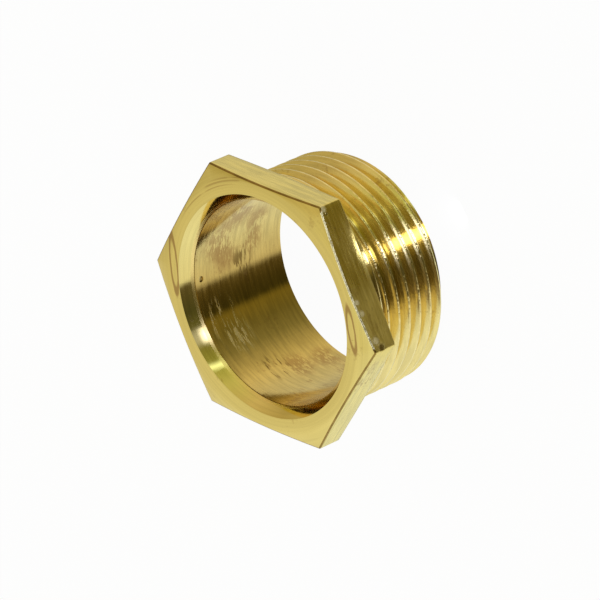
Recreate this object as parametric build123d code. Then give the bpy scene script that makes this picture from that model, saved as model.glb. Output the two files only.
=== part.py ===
"""Hex bushing: a one-piece brass male bush for threaded pipe and conduit.

Millimetres. The bushing stands on its thread end: the origin is the centre of
that end, +Z runs up the bore to the rounded mouth in the hexagon's face, and
two corners of the hexagon lie on the X axis.
"""

import os
from math import cos, radians, tan

from build123d import *

# Hexagon head
across_flats = 26.6
head_thickness = 3.4
bevel_inset = 0.2
face_corner_drop = 0.4
seat_corner_drop = 0.16

# Shank and thread, M25 x 1.5 right hand
shank_length = 10.4
land_diameter = 24.9
land_length = 1.2
runout_length = 1.6
thread_pitch = 1.5
thread_depth = 0.92
crest_width = 0.19
crest_relief = 0.03
flank_angle = 30
corner_crest_height = 0.875  # of the lowest crest, under the +X corner
end_chamfer_length = 1.06
end_chamfer_depth = 0.57

# Passage, bored to leave this wall under the root of the thread
wall_thickness = 0.68
mouth_depth = 1.7
mouth_width = 0.95
mouth_radius = 4
end_edge_break = 0.15

# Room that the cutting and joining shapes need around the part
overlap = 0.15
margin = 2

height = shank_length + head_thickness
land_radius = land_diameter / 2
root_radius = land_radius - thread_depth
crest_radius = land_radius - crest_relief
bore_radius = root_radius - wall_thickness
corner_radius = across_flats / 2 / cos(radians(30))


def turned(*points):
    """A solid of revolution about Z from its outline as radius and height."""
    return revolve(Plane.XZ * make_face(Polyline(*points, close=True)), Axis.Z)


def ridge_half_width(radius):
    return crest_width / 2 + (crest_radius - radius) * tan(radians(flank_angle))


def thread_ridge():
    """The helical ridge, from below the thread end up into the head."""
    start = corner_crest_height - 2 * thread_pitch
    base_radius = root_radius - overlap
    base = ridge_half_width(base_radius)
    crest = crest_width / 2
    section = make_face(
        Polyline(
            (base_radius, -base),
            (crest_radius, -crest),
            (crest_radius, crest),
            (base_radius, base),
            close=True,
        )
    )
    helix = Helix(thread_pitch, shank_length - start, root_radius)
    ridge = sweep(Plane.XZ * section, path=helix, is_frenet=True)
    return Pos(0, 0, start) * ridge


def shank():
    """Threaded shank: thread, chamfered end, run-out and plain land."""
    rod_length = shank_length + 2 * thread_pitch + margin
    rod = Cylinder(root_radius, rod_length, align=(Align.CENTER, Align.CENTER, Align.MIN))
    threaded = Pos(0, 0, -2 * thread_pitch) * rod + thread_ridge()

    end_radius = land_radius - end_chamfer_depth
    chamfer_slope = end_chamfer_length / end_chamfer_depth
    outer_radius = land_radius + margin
    blank = turned(
        (0, 0),
        (end_radius, 0),
        (outer_radius, (outer_radius - end_radius) * chamfer_slope),
        (outer_radius, shank_length),
        (0, shank_length),
    )

    land_start = shank_length - land_length
    runout_slope = runout_length / thread_depth
    inner_radius = root_radius - overlap
    collar = turned(
        (0, land_start - (land_radius - inner_radius) * runout_slope),
        (inner_radius, land_start - (land_radius - inner_radius) * runout_slope),
        (land_radius, land_start),
        (land_radius, shank_length),
        (0, shank_length),
    )
    return (threaded & blank) + collar


def head():
    """Hexagon with its corners bevelled by turning, more on the face than on the seat."""
    hexagon = RegularPolygon(across_flats / 2, 6, major_radius=False)
    prism = Pos(0, 0, shank_length) * extrude(hexagon, head_thickness)
    circle_radius = across_flats / 2 - bevel_inset
    outer_radius = corner_radius + margin
    reach = (outer_radius - circle_radius) / (corner_radius - circle_radius)
    bevels = turned(
        (0, shank_length),
        (circle_radius, shank_length),
        (outer_radius, shank_length + seat_corner_drop * reach),
        (outer_radius, height - face_corner_drop * reach),
        (circle_radius, height),
        (0, height),
    )
    return prism & bevels


def passage():
    """The bore, with its broken edge at the thread end and its rounded mouth."""
    mouth_edge = bore_radius + mouth_width
    mouth_start = height - mouth_depth
    break_radius = bore_radius + end_edge_break
    outline = [
        Line((0, -margin), (break_radius, -margin)),
        Line((break_radius, -margin), (break_radius, 0)),
        Line((break_radius, 0), (bore_radius, end_edge_break)),
        Line((bore_radius, end_edge_break), (bore_radius, mouth_start)),
        RadiusArc((bore_radius, mouth_start), (mouth_edge, height), mouth_radius),
        Line((mouth_edge, height), (mouth_edge, height + margin)),
        Line((mouth_edge, height + margin), (0, height + margin)),
        Line((0, height + margin), (0, -margin)),
    ]
    return revolve(Plane.XZ * make_face(outline), Axis.Z)


hex_bushing = shank() + head() - passage()
hex_bushing.label = "hex_bushing"

os.makedirs("parts", exist_ok=True)
export_step(hex_bushing, "parts/hex_bushing.step")
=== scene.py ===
import bmesh
import bpy
from math import asin, atan2, cos, degrees, hypot, pi, radians, sin
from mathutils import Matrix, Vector


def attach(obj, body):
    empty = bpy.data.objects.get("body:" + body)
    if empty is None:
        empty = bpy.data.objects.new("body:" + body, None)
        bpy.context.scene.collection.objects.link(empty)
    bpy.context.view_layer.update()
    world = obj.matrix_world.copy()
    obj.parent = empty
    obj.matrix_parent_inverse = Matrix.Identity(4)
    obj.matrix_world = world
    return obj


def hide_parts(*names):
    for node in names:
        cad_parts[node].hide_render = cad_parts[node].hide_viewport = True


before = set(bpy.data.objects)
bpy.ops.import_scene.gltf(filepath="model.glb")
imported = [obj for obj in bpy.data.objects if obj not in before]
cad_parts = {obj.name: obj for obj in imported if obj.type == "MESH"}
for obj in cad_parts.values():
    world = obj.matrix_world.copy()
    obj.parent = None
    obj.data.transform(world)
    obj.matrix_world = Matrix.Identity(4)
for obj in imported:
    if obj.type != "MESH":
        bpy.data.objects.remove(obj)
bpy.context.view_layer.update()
print("frame loaded")


def addSocket(group, name, inOut, kind, value=None):
    socket = group.interface.new_socket(name=name, in_out=inOut, socket_type=kind)
    if value is not None:
        socket.default_value = value
    return socket


def mathNode(nodes, links, operation, a, b=None, clamp=False):
    node = nodes.new("ShaderNodeMath")
    node.operation = operation
    node.use_clamp = clamp
    for socket, value in zip(node.inputs, (a, b)):
        if value is None:
            continue
        if isinstance(value, (int, float)):
            socket.default_value = value
        else:
            links.new(value, socket)
    return node.outputs[0]


def startGroup(name, *inputs):
    group = bpy.data.node_groups.new(name, "ShaderNodeTree")
    for label, kind, value in inputs:
        addSocket(group, label, "INPUT", "NodeSocket" + kind, value)
    given = group.nodes.new("NodeGroupInput")
    place = group.nodes.new("ShaderNodeTexCoord")
    return group, group.nodes, group.links, given.outputs, place.outputs["Object"]


def endGroup(group, label, source):
    addSocket(group, label, "OUTPUT", "NodeSocketFloat")
    result = group.nodes.new("NodeGroupOutput")
    group.links.new(source, result.inputs[label])
    return group


def noiseNode(nodes, links, vector, scale, detail, roughness):
    noise = nodes.new("ShaderNodeTexNoise")
    noise.inputs["Detail"].default_value = detail
    noise.inputs["Roughness"].default_value = roughness
    links.new(vector, noise.inputs["Vector"])
    if isinstance(scale, (int, float)):
        noise.inputs["Scale"].default_value = scale
    else:
        links.new(scale, noise.inputs["Scale"])
    return noise.outputs["Fac"]


def splitAxes(nodes, links, vector):
    axes = nodes.new("ShaderNodeSeparateXYZ")
    links.new(vector, axes.inputs[0])
    return axes.outputs


def joinAxes(nodes, links, *values):
    point = nodes.new("ShaderNodeCombineXYZ")
    for socket, value in zip(point.inputs, values):
        links.new(value, socket)
    return point.outputs[0]


def easedStep(nodes, links, value, start, end):
    step = nodes.new("ShaderNodeMapRange")
    step.interpolation_type = "SMOOTHSTEP"
    for label, limit in (("From Min", start), ("From Max", end)):
        if isinstance(limit, (int, float)):
            step.inputs[label].default_value = limit
        else:
            links.new(limit, step.inputs[label])
    links.new(value, step.inputs["Value"])
    return step.outputs["Result"]


def mixColour(nodes, links, factor, a, b, blend="MIX"):
    mix = nodes.new("ShaderNodeMix")
    mix.data_type = "RGBA"
    mix.blend_type = blend
    for socket, value in ((mix.inputs["Factor"], factor), (mix.inputs["A"], a), (mix.inputs["B"], b)):
        if isinstance(value, (int, float, tuple)):
            socket.default_value = value
        else:
            links.new(value, socket)
    return mix.outputs["Result"]


def radiusNode(nodes, links, x, y):
    square = mathNode(nodes, links, "ADD", mathNode(nodes, links, "MULTIPLY", x, x),
                      mathNode(nodes, links, "MULTIPLY", y, y))
    return mathNode(nodes, links, "SQRT", square)


def toolMarks():
    # fine drawn-out lines: level on walls, and rings on the face where the radius counts too
    group, nodes, links, given, place = startGroup(
        "toolMarks", ("Lines", "Float", 9000.0), ("Along", "Float", 60.0), ("Rings", "Float", 1.0))
    x, y, z = splitAxes(nodes, links, place)
    rings = mathNode(nodes, links, "MULTIPLY", radiusNode(nodes, links, x, y), given["Rings"])
    across = mathNode(nodes, links, "MULTIPLY", mathNode(nodes, links, "ADD", rings, z), given["Lines"])
    point = joinAxes(nodes, links, mathNode(nodes, links, "MULTIPLY", x, given["Along"]),
                     mathNode(nodes, links, "MULTIPLY", y, given["Along"]), across)
    return endGroup(group, "Height", noiseNode(nodes, links, point, 1.0, 3.0, 0.65))


def grain():
    # even fine tooth, from sawing and handling
    group, nodes, links, given, place = startGroup("grain", ("Scale", "Float", 6000.0))
    return endGroup(group, "Height", noiseNode(nodes, links, place, given["Scale"], 2.0, 0.6))


def tarnishSpots():
    # broken stains, drawn out along the tool marks and gathered in clusters
    group, nodes, links, given, place = startGroup(
        "tarnishSpots", ("Scale", "Float", 900.0), ("Amount", "Float", 0.4), ("Stretch", "Float", 2.0))
    x, y, z = splitAxes(nodes, links, place)
    point = joinAxes(nodes, links, x, y, mathNode(nodes, links, "MULTIPLY", z, given["Stretch"]))
    fine = noiseNode(nodes, links, point, given["Scale"], 5.0, 0.7)
    wideScale = mathNode(nodes, links, "MULTIPLY", given["Scale"], 0.22)
    wide = noiseNode(nodes, links, place, wideScale, 2.0, 0.5)
    both = mathNode(nodes, links, "ADD", fine, mathNode(nodes, links, "MULTIPLY", wide, 0.8))
    low = mathNode(nodes, links, "SUBTRACT", 1.12, mathNode(nodes, links, "MULTIPLY", given["Amount"], 0.3))
    high = mathNode(nodes, links, "ADD", low, 0.12)
    return endGroup(group, "Mask", easedStep(nodes, links, both, low, high))


def placedSpot():
    # a soft round patch at a set place
    group, nodes, links, given, place = startGroup(
        "placedSpot", ("Centre", "Vector", (0.0, 0.0, 0.0)), ("Radius", "Float", 0.003))
    distance = nodes.new("ShaderNodeVectorMath")
    distance.operation = "DISTANCE"
    links.new(place, distance.inputs[0])
    links.new(given["Centre"], distance.inputs[1])
    core = mathNode(nodes, links, "MULTIPLY", given["Radius"], 0.35)
    spot = easedStep(nodes, links, distance.outputs["Value"], given["Radius"], core)
    return endGroup(group, "Mask", spot)


def stainLoop():
    # the thin outline of a long dried drop on the face
    group, nodes, links, given, place = startGroup(
        "stainLoop", ("Centre", "Vector", (0.0, 0.0, 0.0)), ("Turn", "Float", 0.0),
        ("Half length", "Float", 0.003), ("Half width", "Float", 0.0005))
    shift = nodes.new("ShaderNodeVectorMath")
    shift.operation = "SUBTRACT"
    links.new(place, shift.inputs[0])
    links.new(given["Centre"], shift.inputs[1])
    turned = nodes.new("ShaderNodeVectorRotate")
    turned.rotation_type = "Z_AXIS"
    links.new(shift.outputs[0], turned.inputs["Vector"])
    links.new(given["Turn"], turned.inputs["Angle"])
    x, y, z = splitAxes(nodes, links, turned.outputs[0])
    ring = radiusNode(nodes, links, mathNode(nodes, links, "DIVIDE", x, given["Half length"]),
                      mathNode(nodes, links, "DIVIDE", y, given["Half width"]))
    wobble = noiseNode(nodes, links, place, 900.0, 2.0, 0.5)
    ring = mathNode(nodes, links, "ADD", ring, mathNode(nodes, links, "MULTIPLY", wobble, 0.3))
    edge = mathNode(nodes, links, "ABSOLUTE", mathNode(nodes, links, "SUBTRACT", ring, 1.15))
    return endGroup(group, "Mask", easedStep(nodes, links, edge, 0.34, 0.10))


def turnedRing():
    # a broken line left by the turning tool, at one radius
    group, nodes, links, given, place = startGroup(
        "turnedRing", ("Radius", "Float", 0.0126), ("Width", "Float", 0.00005))
    x, y, z = splitAxes(nodes, links, place)
    off = mathNode(nodes, links, "ABSOLUTE",
                   mathNode(nodes, links, "SUBTRACT", radiusNode(nodes, links, x, y), given["Radius"]))
    faded = mathNode(nodes, links, "MULTIPLY", given["Width"], 2.0)
    line = easedStep(nodes, links, off, faded, given["Width"])
    broken = easedStep(nodes, links, noiseNode(nodes, links, place, 190.0, 2.0, 0.5), 0.50, 0.58)
    return endGroup(group, "Mask", mathNode(nodes, links, "MULTIPLY", line, broken))


groups = {build.__name__: build()
          for build in (toolMarks, grain, tarnishSpots, placedSpot, stainLoop, turnedRing)}


def groupNode(nodes, name, **values):
    node = nodes.new("ShaderNodeGroup")
    node.node_tree = groups[name]
    for label, value in values.items():
        node.inputs[label.replace("_", " ")].default_value = value
    return node.outputs[0]


print("node groups built")

stainColour = (0.40, 0.24, 0.08, 1.0)
# grime for the dark scratches, and painted shade for the hollow of each nick
grimeAndPaintedShadeColour = (0.16, 0.09, 0.02, 1.0)
# painted highlight colour, used for the bright scratches and the glints
paintedGlintColour = (1.00, 0.90, 0.62, 1.0)
# painted sheen colour, which lightens part of a flat
paintedSheenColour = (0.96, 0.76, 0.22, 1.0)
nickDepth = 3.0  # against the tool marks of the same finish
frostRoughness = 0.45  # added where the metal is scuffed

finishes = {
    "brassFaced": {
        "colour": (0.80, 0.63, 0.22), "streak": (0.93, 1.03), "lines": 3000.0, "along": 60.0, "rings": 1.0,
        "marksHeight": 0.10, "grain": 2500.0, "grainHeight": 0.10, "depth": 0.000004,
        "roughness": (0.05, 0.11), "stain": 0.15, "stainScale": 900.0, "stretch": 1.0, "stainShare": 0.35},
    "brassMouth": {
        "colour": (0.82, 0.65, 0.24), "streak": (0.92, 1.04), "lines": 2600.0, "along": 160.0, "rings": 1.0,
        "marksHeight": 0.15, "grain": 1500.0, "grainHeight": 0.12, "depth": 0.000005,
        "roughness": (0.06, 0.12), "stain": 0.25, "stainScale": 1400.0, "stretch": 2.0, "stainShare": 0.4},
    "brassRubbed": {
        "colour": (0.93, 0.70, 0.27), "streak": (0.92, 1.04), "lines": 2600.0, "along": 160.0, "rings": 1.0,
        "marksHeight": 0.15, "grain": 1500.0, "grainHeight": 0.12, "depth": 0.000005,
        "roughness": (0.20, 0.28), "stain": 0.25, "stainScale": 1400.0, "stretch": 2.0, "stainShare": 0.4},
    "brassFlats": {
        "colour": (0.84, 0.68, 0.23), "streak": (0.80, 1.08), "lines": 3400.0, "along": 260.0, "rings": 0.0,
        "marksHeight": 1.0, "grain": 5000.0, "grainHeight": 0.25, "depth": 0.000022,
        "roughness": (0.16, 0.32), "stain": 0.35, "stainScale": 1200.0, "stretch": 2.5, "stainShare": 0.5},
    "brassBore": {
        "colour": (0.69, 0.52, 0.185), "streak": (0.84, 1.10), "lines": 3000.0, "along": 260.0,
        "rings": 0.0, "marksHeight": 0.55, "grain": 1300.0, "grainHeight": 0.25, "depth": 0.000011,
        "roughness": (0.09, 0.18), "stain": 0.40, "stainScale": 1300.0, "stretch": 3.2, "stainShare": 0.6},
    "brassThread": {
        "colour": (0.88, 0.71, 0.30), "streak": (0.86, 1.05), "lines": 6500.0, "along": 260.0, "rings": 1.0,
        "marksHeight": 0.25, "grain": 3200.0, "grainHeight": 0.60, "depth": 0.000010,
        "roughness": (0.12, 0.22), "stain": 0.20, "stainScale": 1300.0, "stretch": 1.5, "stainShare": 0.4},
    "brassCrest": {
        "colour": (0.90, 0.73, 0.34), "streak": (0.84, 1.08), "lines": 3000.0, "along": 900.0, "rings": 1.0,
        "marksHeight": 0.3, "grain": 1600.0, "grainHeight": 1.0, "depth": 0.00010,
        "roughness": (0.10, 0.20), "stain": 0.20, "stainScale": 1500.0, "stretch": 1.0, "stainShare": 0.3},
    # pale colour: wear, and a painted highlight along the face's edge
    "brassWornHighlight": {
        "colour": (1.00, 0.88, 0.50), "streak": (0.85, 1.00), "lines": 3000.0, "along": 900.0, "rings": 1.0,
        "marksHeight": 0.6, "grain": 2200.0, "grainHeight": 1.0, "depth": 0.00005,
        "roughness": (0.30, 0.45), "stain": 0.30, "stainScale": 1500.0, "stretch": 1.0, "stainShare": 0.3},
    # dark colour: painted shade along the rest of the face's edge
    "brassShadedEdge": {
        "colour": (0.32, 0.20, 0.05), "streak": (0.80, 1.15), "lines": 3000.0, "along": 500.0, "rings": 1.0,
        "marksHeight": 0.3, "grain": 3000.0, "grainHeight": 0.4, "depth": 0.00002,
        "roughness": (0.15, 0.30), "stain": 0.40, "stainScale": 1500.0, "stretch": 1.0, "stainShare": 0.5},
}

# stains, scratches, nicks and dried drops at set places, in metres, with painted highlights (bright
# scratches, sheens, glints) and painted shade in the nicks
marks = {
    "brassBore": {
        "mottles": [((-0.0104, 0.0022, 0.0092), 0.0030), ((-0.0108, 0.0007, 0.0045), 0.0022),
                    ((-0.0108, 0.0003, 0.0081), 0.0024),
                    ((-0.0104, 0.0031, 0.0040), 0.0022), ((-0.0095, 0.0052, 0.0070), 0.0030),
                    ((-0.0029, -0.0104, 0.0054), 0.0024), ((-0.0025, -0.0106, 0.0020), 0.0022)],
        "scratches": [((-0.0038, -0.0102, 0.0078), 0.0024), ((-0.0108, -0.0010, 0.0058), 0.0020)],
        # painted highlights: bright scratch lines in the bore near its mouth, which are also made rougher
        "paintedBrightScratches": [((-0.0092, -0.0057, 0.0100), 0.0032), ((-0.0080, -0.0073, 0.0092), 0.0026)],
        # nick: a pit in the bump, its hollow darkened with painted shade
        "nicksWithPaintedShade": [((-0.01078, -0.00122, 0.01163), 0.00035)],
    },
    "brassMouth": {
        # nick: a pit in the bump, its hollow darkened with painted shade
        "nicksWithPaintedShade": [((-0.01110, -0.00260, 0.01300), 0.00022)],
    },
    "brassFlats": {
        # painted sheen: the lower end of the right flat is lightened
        "paintedSheens": [((0.0142, 0.0022, 0.0118), 0.0060)],
        # nicks: pits in the bump, their hollows darkened with painted shade
        "nicksWithPaintedShade": [((0.0083, 0.0126, 0.0129), 0.00032), ((0.0152, 0.0003, 0.0124), 0.00055)],
        # painted glints: bright spots of colour beside the nicks and near the top edge of the right flat
        "paintedGlints": [((0.0078, 0.0130, 0.0131), 0.00055), ((0.0148, 0.0010, 0.0128), 0.00060),
                   ((0.0127, 0.0046, 0.0133), 0.00040), ((0.0133, 0.0036, 0.0132), 0.00045)],
    },
    "brassFaced": {
        "loops": [((-0.01246, 0.00070, 0.0138), 1.443, 0.0030, 0.00048),
                  ((0.01238, 0.00170, 0.0138), 1.346, 0.0023, 0.00046)],
        "rings": [(0.01322, 0.00006, (-0.0052, 0.0121, 0.0138)),
                  (0.01282, 0.00004, (-0.0080, 0.0100, 0.0138)),
                  (0.01352, 0.00005, (-0.0030, 0.0132, 0.0138))],
    },
}

# how strongly each kind of mark covers the metal, and what it is tinted with
markShares = {
    "mottles": 0.75, "scratches": 0.8, "paintedBrightScratches": 0.75, "paintedSheens": 0.5,
    "paintedGlints": 0.8, "nicksWithPaintedShade": 0.7, "rings": 0.5, "loops": 0.9}
markTints = {
    "scratches": grimeAndPaintedShadeColour, "paintedBrightScratches": paintedGlintColour, "paintedSheens": paintedSheenColour,
    "paintedGlints": paintedGlintColour, "nicksWithPaintedShade": grimeAndPaintedShadeColour}
scratchLines = {"Lines": 2300.0, "Along": 330.0, "Rings": 0.0}
scratchEdges = (0.52, 0.58)
mottleAmount = 1.05
ringReach = 0.006
stainFrosting = 0.2


def addMarks(nodes, links, colour, name, finish):
    # what is put on the metal: general stains first, then the marks that have a set place, some of them
    # painted highlights and painted shade
    stain = groupNode(nodes, "tarnishSpots", Scale=finish["stainScale"], Amount=finish["stain"],
                      Stretch=finish["stretch"])
    colour = mixColour(nodes, links, mathNode(nodes, links, "MULTIPLY", stain, finish["stainShare"]),
                       colour, stainColour)
    placed = marks.get(name, {})
    frosted = mathNode(nodes, links, "MULTIPLY", stain, stainFrosting)
    for centre, radius in placed.get("mottles", []):
        spot = groupNode(nodes, "placedSpot", Centre=centre, Radius=radius)
        dots = groupNode(nodes, "tarnishSpots", Scale=finish["stainScale"], Amount=mottleAmount,
                         Stretch=finish["stretch"])
        both = mathNode(nodes, links, "MULTIPLY", spot, dots)
        mask = mathNode(nodes, links, "MULTIPLY", both, markShares["mottles"])
        colour = mixColour(nodes, links, mask, colour, stainColour)
    # the dark scratches are grime; the bright scratches are painted highlights
    for label in ("scratches", "paintedBrightScratches"):
        for centre, radius in placed.get(label, []):
            spot = groupNode(nodes, "placedSpot", Centre=centre, Radius=radius)
            lines = groupNode(nodes, "toolMarks", **scratchLines)
            mask = mathNode(nodes, links, "MULTIPLY", spot, easedStep(nodes, links, lines, *scratchEdges))
            mask = mathNode(nodes, links, "MULTIPLY", mask, markShares[label])
            colour = mixColour(nodes, links, mask, colour, markTints[label])
            if label == "paintedBrightScratches":
                frosted = mathNode(nodes, links, "MAXIMUM", frosted, mask)
    # sheens and glints are painted highlights; nicks are darkened with painted shade
    for label in ("paintedSheens", "paintedGlints", "nicksWithPaintedShade"):
        for centre, radius in placed.get(label, []):
            spot = groupNode(nodes, "placedSpot", Centre=centre, Radius=radius)
            mask = mathNode(nodes, links, "MULTIPLY", spot, markShares[label])
            colour = mixColour(nodes, links, mask, colour, markTints[label])
            if label != "nicksWithPaintedShade":
                frosted = mathNode(nodes, links, "MAXIMUM", frosted, mask)
    for radius, width, centre in placed.get("rings", []):
        ring = groupNode(nodes, "turnedRing", Radius=radius, Width=width)
        spot = groupNode(nodes, "placedSpot", Centre=centre, Radius=ringReach)
        both = mathNode(nodes, links, "MULTIPLY", ring, spot)
        mask = mathNode(nodes, links, "MULTIPLY", both, markShares["rings"])
        colour = mixColour(nodes, links, mask, colour, stainColour)
    for centre, turn, halfLength, halfWidth in placed.get("loops", []):
        loop = groupNode(nodes, "stainLoop", Centre=centre, Turn=turn, Half_length=halfLength,
                         Half_width=halfWidth)
        mask = mathNode(nodes, links, "MULTIPLY", loop, markShares["loops"])
        colour = mixColour(nodes, links, mask, colour, stainColour)
    return colour, frosted


def makeBrass(name, finish):
    material = bpy.data.materials.new(name)
    material.use_nodes = True
    nodes, links = material.node_tree.nodes, material.node_tree.links
    metal = nodes["Principled BSDF"]
    metal.inputs["Metallic"].default_value = 1.0
    lines = groupNode(nodes, "toolMarks", Lines=finish["lines"], Along=finish["along"],
                      Rings=finish["rings"])
    tooth = groupNode(nodes, "grain", Scale=finish["grain"])

    dull, bright = (tuple(min(1.0, c * share) for c in finish["colour"]) + (1.0,)
                    for share in finish["streak"])
    colour = mixColour(nodes, links, easedStep(nodes, links, lines, 0.32, 0.68), dull, bright)
    colour, frosted = addMarks(nodes, links, colour, name, finish)
    links.new(colour, metal.inputs["Base Color"])

    rough = nodes.new("ShaderNodeMapRange")
    rough.inputs["From Min"].default_value = 0.3
    rough.inputs["From Max"].default_value = 0.7
    rough.inputs["To Min"].default_value = finish["roughness"][0]
    rough.inputs["To Max"].default_value = finish["roughness"][1]
    links.new(lines, rough.inputs["Value"])
    frosting = mathNode(nodes, links, "MULTIPLY", frosted, frostRoughness)
    links.new(mathNode(nodes, links, "ADD", rough.outputs["Result"], frosting), metal.inputs["Roughness"])

    height = mathNode(nodes, links, "ADD", mathNode(nodes, links, "MULTIPLY", lines, finish["marksHeight"]),
                      mathNode(nodes, links, "MULTIPLY", tooth, finish["grainHeight"]))
    for centre, radius in marks.get(name, {}).get("nicksWithPaintedShade", []):
        spot = groupNode(nodes, "placedSpot", Centre=centre, Radius=radius)
        pit = mathNode(nodes, links, "MULTIPLY", spot, nickDepth)
        height = mathNode(nodes, links, "SUBTRACT", height, pit)
    bump = nodes.new("ShaderNodeBump")
    bump.inputs["Strength"].default_value = 1.0
    bump.inputs["Distance"].default_value = finish["depth"]
    links.new(height, bump.inputs["Height"])
    links.new(bump.outputs["Normal"], metal.inputs["Normal"])
    return material


brasses = {name: makeBrass(name, finish) for name, finish in finishes.items()}
print("brass finishes made")

# the bushing, in millimetres
bushing = {
    "acrossFlats": 26.6,
    "headBottom": 10.4,
    "headTop": 13.8,
    "bevelRadius": 13.1,
    "faceDrop": 0.4,
    "seatDrop": 0.16,
    "edgeRound": 0.15,
    "cornerRound": 0.12,
    "landRadius": 12.45,
    "landStart": 9.2,
    "runout": 1.6,
    "pitch": 1.5,
    "threadDepth": 0.92,
    "crestWidth": 0.19,
    "crestRelief": 0.03,
    "cornerCrest": 0.875,
    "endChamfer": (0.57, 1.06),
    "boreRadius": 10.85,
    "mouthDepth": 1.34,
    "mouthWidth": 0.95,
    "mouthRadius": 8.0,
    "endBreak": 0.15,
    "columns": 240,
    "mouthSteps": 20,
    "rubbedWidth": 0.22,  # of the mouth's inner rim, which is duller than the rest
    "crestBand": 0.06,  # depth below the crest that gets the crest's finish
    "wornHighlightAzimuths": (2, 59),  # where the face's edge is worn and given a painted highlight, in degrees
    "sharpAngle": 38,
    "crestEase": 0.05,
    "flatRowGap": 1.8,
    "mouthMargin": 0.06,  # flat face kept between the mouth's edge and the next ring
    "boreRows": (0.025, 0.12, 1.5, 3.0, 4.5, 6.0, 7.5, 9.0, 10.5),
}

flankSlope = 0.57735  # half the thread's angle is 30 degrees


def hexRadius(angle, inset=0.0):
    return (bushing["acrossFlats"] / 2 - inset) / cos(angle % radians(60) - radians(30))


def bevelShare(radius):
    corner = hexRadius(0.0)
    return max(0.0, (radius - bushing["bevelRadius"]) / (corner - bushing["bevelRadius"]))


def faceHeight(radius):
    return bushing["headTop"] - bushing["faceDrop"] * bevelShare(radius)


def seatHeight(radius):
    return bushing["headBottom"] + bushing["seatDrop"] * bevelShare(radius)


def threadProfile():
    # one tooth from root to root, as radius and height, with eased crest and root corners
    s = bushing
    crest = s["landRadius"] - s["crestRelief"]
    root = s["landRadius"] - s["threadDepth"]
    flank = (crest - root) * flankSlope
    half = s["crestWidth"] / 2
    foot = half + flank
    ease = s["crestEase"]
    side = [(root, foot + 0.06), (root + 0.02, foot), (root + 0.09, foot - 0.052)]
    for share in (0.3, 0.5, 0.7):
        side.append((root + (crest - root) * share, foot - flank * share))
    side += [(crest - ease, half + ease * flankSlope), (crest - 0.012, half), (crest, half - 0.03)]
    lower = [(r, -h) for r, h in side]
    upper = [(r, h) for r, h in reversed(side)]
    return lower + [(crest, 0.0)] + upper


def threadSurface(bm):
    # the tooth profile, repeated up the shank and swept one full turn with a lead of one pitch
    s = bushing
    profile = threadProfile()
    chain = []
    turns = int(s["headBottom"] / s["pitch"]) + 3
    for turn in range(-2, turns):
        for radius, height in profile:
            chain.append(bm.verts.new((radius, 0, height + s["cornerCrest"] + turn * s["pitch"])))
    edges = [bm.edges.new(pair) for pair in zip(chain, chain[1:])]
    bmesh.ops.spin(bm, geom=chain + edges, cent=(0, 0, 0), axis=(0, 0, 1),
                   dvec=(0, 0, s["pitch"] / s["columns"]), angle=2 * pi, steps=s["columns"],
                   use_merge=False)
    bmesh.ops.remove_doubles(bm, verts=bm.verts, dist=0.002)

    slope = s["threadDepth"] / s["runout"]
    chamferDepth, chamferLength = s["endChamfer"]
    for vert in bm.verts:
        radius = hypot(vert.co.x, vert.co.y)
        runoutRadius = s["landRadius"] - max(0.0, s["landStart"] - vert.co.z) * slope
        endRadius = s["landRadius"] - chamferDepth + vert.co.z * chamferDepth / chamferLength
        wanted = min(max(radius, runoutRadius), max(endRadius, s["boreRadius"]))
        vert.co.x *= wanted / radius
        vert.co.y *= wanted / radius

    for height, side in ((0.0, "clear_inner"), (s["headBottom"] - 0.1, "clear_outer")):
        geom = bm.verts[:] + bm.edges[:] + bm.faces[:]
        bmesh.ops.bisect_plane(bm, geom=geom, dist=1e-5, plane_co=(0, 0, height),
                               plane_no=(0, 0, 1), **{side: True})
    bmesh.ops.remove_doubles(bm, verts=bm.verts, dist=0.001)


def openEdges(bm, height):
    return [e for e in bm.edges if e.is_boundary and all(abs(v.co.z - height) < 0.01 for v in e.verts)]


def addRing(bm, edges, radius, height):
    # extrudes an open loop and lays the new one out at a radius and height for each angle
    made = bmesh.ops.extrude_edge_only(bm, edges=edges)["geom"]
    for vert in (g for g in made if isinstance(g, bmesh.types.BMVert)):
        angle = atan2(vert.co.y, vert.co.x)
        r = radius(angle) if callable(radius) else radius
        vert.co = (r * cos(angle), r * sin(angle), height(r) if callable(height) else height)
    return [g for g in made if isinstance(g, bmesh.types.BMEdge)]


def hexRing(inset):
    return lambda angle: hexRadius(angle, inset)


def headRings(bm, loop):
    s = bushing
    e = s["edgeRound"]
    loop = addRing(bm, loop, s["landRadius"], s["headBottom"])
    loop = addRing(bm, loop, s["bevelRadius"], s["headBottom"])
    for inset, lift in ((e, 0.0), (e * 0.3, e * 0.3), (0.0, e)):
        loop = addRing(bm, loop, hexRing(inset), lambda r, lift=lift: seatHeight(r) + lift)
    middle = (s["headBottom"] + s["headTop"]) / 2
    for step in (-0.5, 0.0, 0.5):
        loop = addRing(bm, loop, hexRing(0.0), middle + step * s["flatRowGap"])
    for inset, drop in ((0.0, e), (e * 0.3, e * 0.3), (e, 0.0)):
        loop = addRing(bm, loop, hexRing(inset), lambda r, drop=drop: faceHeight(r) - drop)
    loop = addRing(bm, loop, s["bevelRadius"], s["headTop"])
    return loop


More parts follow.
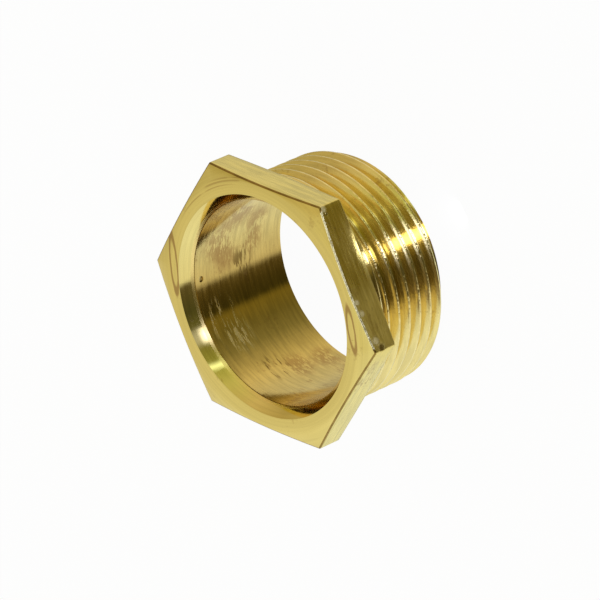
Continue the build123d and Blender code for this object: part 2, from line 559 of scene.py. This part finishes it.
def passageRings(bm, loop):
    s = bushing
    middle = atan2(s["mouthDepth"], s["mouthWidth"])
    spread = asin(hypot(s["mouthWidth"], s["mouthDepth"]) / 2 / s["mouthRadius"])
    outer = s["boreRadius"] + s["mouthWidth"]
    base = s["headTop"] - s["mouthDepth"]
    loop = addRing(bm, loop, outer + s["mouthMargin"], s["headTop"])
    for step in range(s["mouthSteps"] + 1):
        turn = middle + spread * (2 * step / s["mouthSteps"] - 1)
        loop = addRing(bm, loop, outer - s["mouthRadius"] * (sin(turn) - sin(middle - spread)),
                       s["headTop"] + s["mouthRadius"] * (cos(turn) - cos(middle - spread)))
    for drop in (*s["boreRows"], base - s["endBreak"]):
        loop = addRing(bm, loop, s["boreRadius"], base - drop)
    return addRing(bm, loop, s["boreRadius"] + s["endBreak"], 0.0)


def buildBushing():
    bm = bmesh.new()
    threadSurface(bm)
    threadFaces = len(bm.faces)
    top = openEdges(bm, bushing["headBottom"] - 0.1)
    bottom = openEdges(bm, 0.0)
    print("thread swept:", threadFaces, "faces, end loops", len(bottom), len(top))
    loop = passageRings(bm, headRings(bm, top))
    bmesh.ops.bridge_loops(bm, edges=bottom + loop)
    corners = [edge for edge in bm.edges
               if all(hypot(v.co.x, v.co.y) > hexRadius(0.0) - 0.01 for v in edge.verts)
               and abs(edge.verts[0].co.z - edge.verts[1].co.z) > 0.2]
    bmesh.ops.bevel(bm, geom=corners, offset=bushing["cornerRound"], offset_type="OFFSET", segments=3,
                    profile=0.5, affect="EDGES", material=-1)
    bmesh.ops.recalc_face_normals(bm, faces=bm.faces)
    openLeft = sum(1 for e in bm.edges if not e.is_manifold)
    print("bushing closed, open edges left:", openLeft)

    slots = list(brasses)
    for face in bm.faces:
        centre = face.calc_center_median()
        radius = hypot(centre.x, centre.y)
        if radius < bushing["boreRadius"] + 0.02:
            name = "brassBore"
        elif radius < bushing["boreRadius"] + bushing["rubbedWidth"] and centre.z > 5:
            name = "brassRubbed"
        elif radius < bushing["boreRadius"] + bushing["mouthWidth"] and centre.z > 5:
            name = "brassMouth"
        # the face's edge rounding: worn with a painted highlight at the worn azimuths, painted shade
        # everywhere else
        elif radius > bushing["bevelRadius"] and centre.z > 13 and 0.2 < face.normal.z < 0.97:
            highlightFrom, highlightTo = bushing["wornHighlightAzimuths"]
            onHighlightSide = highlightFrom < degrees(atan2(centre.y, centre.x)) < highlightTo
            name = "brassWornHighlight" if onHighlightSide else "brassShadedEdge"
        elif radius > bushing["landRadius"] + 0.3 and abs(face.normal.z) < 0.5:
            name = "brassFlats"
        elif centre.z > bushing["headBottom"] + 0.05:
            name = "brassFaced"
        elif radius > bushing["landRadius"] - bushing["crestBand"] and centre.z < bushing["landStart"]:
            name = "brassCrest"
        else:
            name = "brassThread"
        face.material_index = slots.index(name)
    bmesh.ops.scale(bm, vec=(0.001, 0.001, 0.001), verts=bm.verts)

    mesh = bpy.data.meshes.new("hexBushing")
    bm.to_mesh(mesh)
    bm.free()
    mesh.shade_smooth()
    mesh.set_sharp_from_angle(angle=radians(bushing["sharpAngle"]))
    for name in slots:
        mesh.materials.append(brasses[name])
    piece = bpy.data.objects.new("hexBushing", mesh)
    bpy.context.collection.objects.link(piece)
    return piece


piece = buildBushing()
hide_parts("hex_bushing")
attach(piece, "root")
print("bushing placed")

# what the bushing stands on, what stands round it and the lamp beside its thread
studio = {
    "floorSize": 6.0,
    "floorWhite": (0.9, 0.9, 0.9, 1.0),
    "floorShare": 0.96,
    "floorGlow": 1.0,
    # what stands round the bushing: azimuth in degrees and colour, below, level with and above it
    "tent": {
        "low": [
            (-180, (0.42, 0.38, 0.24)), (-166, (0.60, 0.58, 0.42)), (-150, (0.78, 0.76, 0.58)),
            (-130, (0.88, 0.92, 0.80)), (-60, (0.93, 1.00, 1.00)), (-16, (0.80, 0.76, 0.62)),
            (-10, (0.12, 0.09, 0.03)), (6, (0.070, 0.055, 0.016)),
            (20, (0.050, 0.042, 0.011)), (26, (0.24, 0.19, 0.040)), (44, (0.19, 0.165, 0.055)),
            (66, (0.28, 0.255, 0.12)), (90, (0.62, 0.55, 0.33)), (104, (0.86, 0.77, 0.52)),
            (125, (0.80, 0.76, 0.62)), (155, (0.74, 0.73, 0.62)), (180, (0.42, 0.38, 0.24)),
        ],
        "mid": [
            (-180, (0.55, 0.50, 0.28)), (-150, (0.75, 0.73, 0.55)), (-130, (0.88, 0.90, 0.80)),
            (-60, (0.95, 1.02, 1.02)), (-20, (0.90, 0.92, 0.84)), (-15, (0.12, 0.10, 0.05)),
            (10, (0.075, 0.075, 0.03)), (28, (0.14, 0.14, 0.05)), (48, (0.24, 0.24, 0.07)),
            (64, (0.32, 0.34, 0.10)), (69, (1.60, 1.90, 1.60)), (74, (0.45, 0.48, 0.16)),
            (90, (0.62, 0.62, 0.30)), (120, (0.68, 0.58, 0.36)), (150, (0.50, 0.42, 0.22)),
            (180, (0.55, 0.50, 0.28)),
        ],
        "high": [
            (-180, (0.66, 0.60, 0.36)), (-140, (0.80, 0.80, 0.60)), (-80, (0.90, 0.96, 0.90)),
            (-58, (0.80, 0.78, 0.60)), (-50, (0.16, 0.11, 0.05)), (10, (0.10, 0.085, 0.03)),
            (50, (0.22, 0.22, 0.07)), (75, (0.50, 0.58, 0.18)), (100, (0.62, 0.62, 0.28)),
            (130, (0.70, 0.64, 0.40)),
            (180, (0.66, 0.60, 0.36)),
        ],
    },
    "slit": {"azimuth": 36.5, "half": 0.10, "soft": 0.13, "colour": (0.80, 0.86, 1.30), "strength": 3.6},
}


def makeFloor():
    bm = bmesh.new()
    bmesh.ops.create_grid(bm, x_segments=1, y_segments=1, size=studio["floorSize"] / 2)
    mesh = bpy.data.meshes.new("studioFloor")
    bm.to_mesh(mesh)
    bm.free()
    floor = bpy.data.objects.new("studioFloor", mesh)
    bpy.context.collection.objects.link(floor)
    material = bpy.data.materials.new("paperFloor")
    material.use_nodes = True
    nodes, links = material.node_tree.nodes, material.node_tree.links
    paper = nodes["Principled BSDF"]
    paper.inputs["Base Color"].default_value = studio["floorWhite"]
    paper.inputs["Roughness"].default_value = 0.9
    glow = nodes.new("ShaderNodeEmission")
    glow.inputs["Strength"].default_value = studio["floorGlow"]
    path = nodes.new("ShaderNodeLightPath")
    mix = nodes.new("ShaderNodeMixShader")
    seen = mathNode(nodes, links, "ADD", path.outputs["Is Camera Ray"], path.outputs["Is Transmission Ray"])
    seen = mathNode(nodes, links, "MULTIPLY", seen, studio["floorShare"])
    links.new(seen, mix.inputs["Fac"])
    links.new(paper.outputs[0], mix.inputs[1])
    links.new(glow.outputs[0], mix.inputs[2])
    links.new(mix.outputs[0], nodes["Material Output"].inputs["Surface"])
    mesh.materials.append(material)
    floor.visible_glossy = False


def tentRamp(nodes, links, share, stopsGiven):
    ramp = nodes.new("ShaderNodeValToRGB")
    stops = ramp.color_ramp.elements
    while len(stops) < len(stopsGiven):
        stops.new(0.5)
    for stop, (azimuth, colour) in zip(stops, stopsGiven):
        stop.position = azimuth / 360 + 0.5
        stop.color = (*colour, 1.0)
    links.new(share, ramp.inputs["Fac"])
    return ramp.outputs["Color"]


def makeTent():
    world = bpy.data.worlds.new("studioTent")
    bpy.context.scene.world = world
    world.use_nodes = True
    nodes, links = world.node_tree.nodes, world.node_tree.links
    nodes.clear()
    place = nodes.new("ShaderNodeTexCoord")
    axes = nodes.new("ShaderNodeSeparateXYZ")
    links.new(place.outputs["Generated"], axes.inputs[0])
    x, y, z = axes.outputs
    azimuth = mathNode(nodes, links, "ARCTAN2", y, x)
    share = mathNode(nodes, links, "ADD", mathNode(nodes, links, "DIVIDE", azimuth, 2 * pi), 0.5)
    low, mid, high = (tentRamp(nodes, links, share, studio["tent"][band])
                      for band in ("low", "mid", "high"))
    walls = mixColour(nodes, links, easedStep(nodes, links, z, -0.35, 0.0), low, mid)
    walls = mixColour(nodes, links, easedStep(nodes, links, z, 0.72, 0.86), walls, high)

    slit = studio["slit"]
    turn = radians(slit["azimuth"])
    off = mathNode(nodes, links, "SUBTRACT", mathNode(nodes, links, "MULTIPLY", y, cos(turn)),
                   mathNode(nodes, links, "MULTIPLY", x, sin(turn)))
    ahead = mathNode(nodes, links, "ADD", mathNode(nodes, links, "MULTIPLY", x, cos(turn)),
                     mathNode(nodes, links, "MULTIPLY", y, sin(turn)))
    near = easedStep(nodes, links, mathNode(nodes, links, "ABSOLUTE", off),
                     slit["half"] + slit["soft"] / 2, slit["half"] - slit["soft"] / 2)
    near = mathNode(nodes, links, "MULTIPLY", near, easedStep(nodes, links, ahead, 0.0, 0.08))
    near = mathNode(nodes, links, "MULTIPLY", near, easedStep(nodes, links, z, -0.05, 0.05))
    tall = mathNode(nodes, links, "ADD", easedStep(nodes, links, z, 0.66, 0.40),
                    easedStep(nodes, links, z, 0.93, 0.97))
    near = mathNode(nodes, links, "MULTIPLY", near, mathNode(nodes, links, "MAXIMUM", tall, 0.12))
    slitGlow = tuple(c * slit["strength"] for c in slit["colour"]) + (1.0,)
    glow = mixColour(nodes, links, near, (0.0, 0.0, 0.0, 1.0), slitGlow)
    walls = mixColour(nodes, links, 1.0, walls, glow, "ADD")

    white = nodes.new("ShaderNodeBackground")
    panels = nodes.new("ShaderNodeBackground")
    links.new(walls, panels.inputs["Color"])
    white.inputs["Color"].default_value = (1, 1, 1, 1)
    path = nodes.new("ShaderNodeLightPath")
    mix = nodes.new("ShaderNodeMixShader")
    out = nodes.new("ShaderNodeOutputWorld")
    seen = mathNode(nodes, links, "ADD", path.outputs["Is Camera Ray"], path.outputs["Is Transmission Ray"])
    links.new(seen, mix.inputs["Fac"])
    links.new(panels.outputs[0], mix.inputs[1])
    links.new(white.outputs[0], mix.inputs[2])
    links.new(mix.outputs[0], out.inputs["Surface"])


def areaLamp(name, place, target, size, power, colour):
    data = bpy.data.lights.new(name, "AREA")
    data.shape = "RECTANGLE"
    data.size, data.size_y = size
    data.energy = power
    data.color = colour
    lamp = bpy.data.objects.new(name, data)
    bpy.context.collection.objects.link(lamp)
    lamp.location = place
    lamp.rotation_euler = (Vector(target) - Vector(place)).to_track_quat("-Z", "Y").to_euler()
    lamp.visible_camera = False


makeFloor()
makeTent()

strip = {"azimuth": 36.5, "distance": 0.018, "height": 0.0, "size": (0.0020, 0.0092),
         "power": 0.00032, "colour": (0.85, 0.88, 1.0)}
angle = radians(strip["azimuth"])
areaLamp("slitLamp", (strip["distance"] * cos(angle), strip["distance"] * sin(angle), strip["height"]),
         (0, 0, strip["height"]), strip["size"], strip["power"], strip["colour"])
print("studio set")

cameraView = {"place": (0.34778, 0.23888, 0.36309), "turn": (-25.8682, 44.3875, -0.1233),
              "lens": 330.08, "sensor": 36.0}
lens = bpy.data.cameras.new("productCamera")
lens.lens = cameraView["lens"]
lens.sensor_width = cameraView["sensor"]
camera = bpy.data.objects.new("productCamera", lens)
camera.location = cameraView["place"]
camera.rotation_euler = [radians(a) for a in cameraView["turn"]]
bpy.context.collection.objects.link(camera)
bpy.context.scene.camera = camera
bpy.context.scene.view_settings.view_transform = "Standard"
